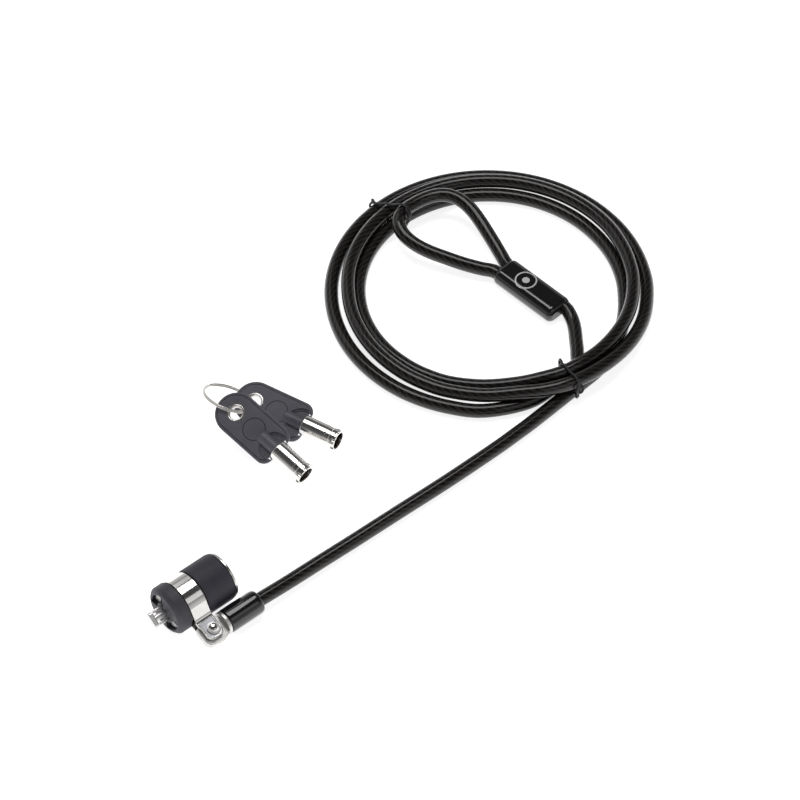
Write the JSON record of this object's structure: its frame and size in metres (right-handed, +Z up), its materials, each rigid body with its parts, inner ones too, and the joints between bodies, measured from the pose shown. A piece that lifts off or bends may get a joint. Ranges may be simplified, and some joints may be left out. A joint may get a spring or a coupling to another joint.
{
  "type": "laptop cable lock",
  "caption": "Keyed T-bar cable lock: round head swivelling in a riveted collar, coiled coated steel cable with a crimped eye, and tubular keys on a ring.",
  "frame": {"origin": "on the table top, below the middle of the box round the lock head and the keys, without the cable", "axes": "+X along the lock head from the T-bar to the keyway and on along the cable to the coil, +Y from the cable side to the keys, +Z up; the object lies on Z = 0"},
  "size_m": [0.2662, 0.1312, 0.0194],
  "materials": {
    "polished_chrome": "polished, mirror bright",
    "bright_steel": "bright turned steel",
    "satin_zinc": "satin die-cast zinc, warm light grey",
    "nickel": "nickel plated",
    "brass": "turned brass",
    "aluminium": "crimped, satin",
    "matte_rubber": "matte charcoal, fine grain",
    "black_moulding": "matte black, lightly textured",
    "glossy_boot": "glossy black",
    "smoke_jacket": "clear smoke vinyl over dark twisted rope",
    "tie_wire": "black coated wire",
    "key_plastic": "satin charcoal grey"
  },
  "bodies": {
    "cable": {"cable_lead": "smoke_jacket", "cable_coil": "smoke_jacket", "cable_tail": "smoke_jacket", "cable_loop": "smoke_jacket", "cable_tie_1": "tie_wire", "cable_tie_2": "tie_wire", "crimp_sleeve": "aluminium", "ferrule_cover": "glossy_boot", "cable_fitting": "satin_zinc", "cable_boot": "glossy_boot"},
    "collar": {"collar_band": "polished_chrome", "collar_rivet": "bright_steel", "rivet_washer": "bright_steel"},
    "lock": {"lock_body": "satin_zinc", "nose_guard": "black_moulding", "guide_pin_1": "bright_steel", "guide_pin_2": "bright_steel", "grip_sleeve": "matte_rubber", "rear_bezel": "polished_chrome", "keyway_ring": "bright_steel", "tumbler_stator": "brass", "tumbler_spring_1": "bright_steel", "tumbler_spring_2": "bright_steel", "tumbler_spring_3": "bright_steel", "tumbler_spring_4": "bright_steel", "tumbler_spring_5": "bright_steel", "tumbler_spring_6": "bright_steel", "tumbler_spring_7": "bright_steel"},
    "spindle": {"t_bar": "bright_steel", "tumbler_rotor": "brass"},
    "key_pins": {"key_pin_1": "brass", "key_pin_2": "brass", "key_pin_3": "brass", "key_pin_4": "brass", "key_pin_5": "brass", "key_pin_6": "brass", "key_pin_7": "brass"},
    "driver_pins": {"driver_pin_1": "bright_steel", "driver_pin_2": "bright_steel", "driver_pin_3": "bright_steel", "driver_pin_4": "bright_steel", "driver_pin_5": "bright_steel", "driver_pin_6": "bright_steel", "driver_pin_7": "bright_steel"},
    "key_ring": {"key_ring": "nickel"},
    "key_1": {"key_1_head": "key_plastic", "key_1_eyelet": "nickel", "key_1_tube": "polished_chrome"},
    "key_2": {"key_2_head": "key_plastic", "key_2_eyelet": "nickel", "key_2_tube": "polished_chrome"}
  },
  "joints": [
    {"name": "collar_swing", "type": "hinge", "parent": "cable", "child": "collar", "pos_m": [-0.03995, -0.04232, 0.00478], "axis": [0, -0.3173, 0.9483], "range_deg": [0, 180]},
    {"name": "lock_swivel", "type": "hinge", "parent": "collar", "child": "lock", "pos_m": [-0.05015, -0.02762, 0.0097], "axis": [1, 0, 0], "continuous": true},
    {"name": "key_turn", "type": "hinge", "parent": "lock", "child": "spindle", "pos_m": [-0.05015, -0.02762, 0.0097], "axis": [1, 0, 0], "range_deg": [0, 90]},
    {"name": "key_pin_travel", "type": "slide", "parent": "spindle", "child": "key_pins", "axis": [-1, 0, 0], "range_m": [-0.0016, 0]},
    {"name": "driver_pin_travel", "type": "slide", "parent": "lock", "child": "driver_pins", "axis": [-1, 0, 0], "range_m": [-0.0016, 0]},
    {"name": "keys_lift", "type": "slide", "parent": "cable", "child": "key_ring", "axis": [0, 0, 1], "range_m": [0, 0.05]},
    {"name": "key_1_swing", "type": "hinge", "parent": "key_ring", "child": "key_1", "pos_m": [0.02835, 0.02808, 0.01077], "axis": [-0.3931, -0.2084, 0.8956], "range_deg": [0, 35]},
    {"name": "key_2_swing", "type": "hinge", "parent": "key_ring", "child": "key_2", "pos_m": [0.04015, 0.03168, 0.00505], "axis": [-0.3461, -0.1446, 0.927], "range_deg": [0, 40]}
  ],
  "couplings": [
    {"joint": "driver_pin_travel", "follows": "key_pin_travel", "ratio": 1}
  ]
}
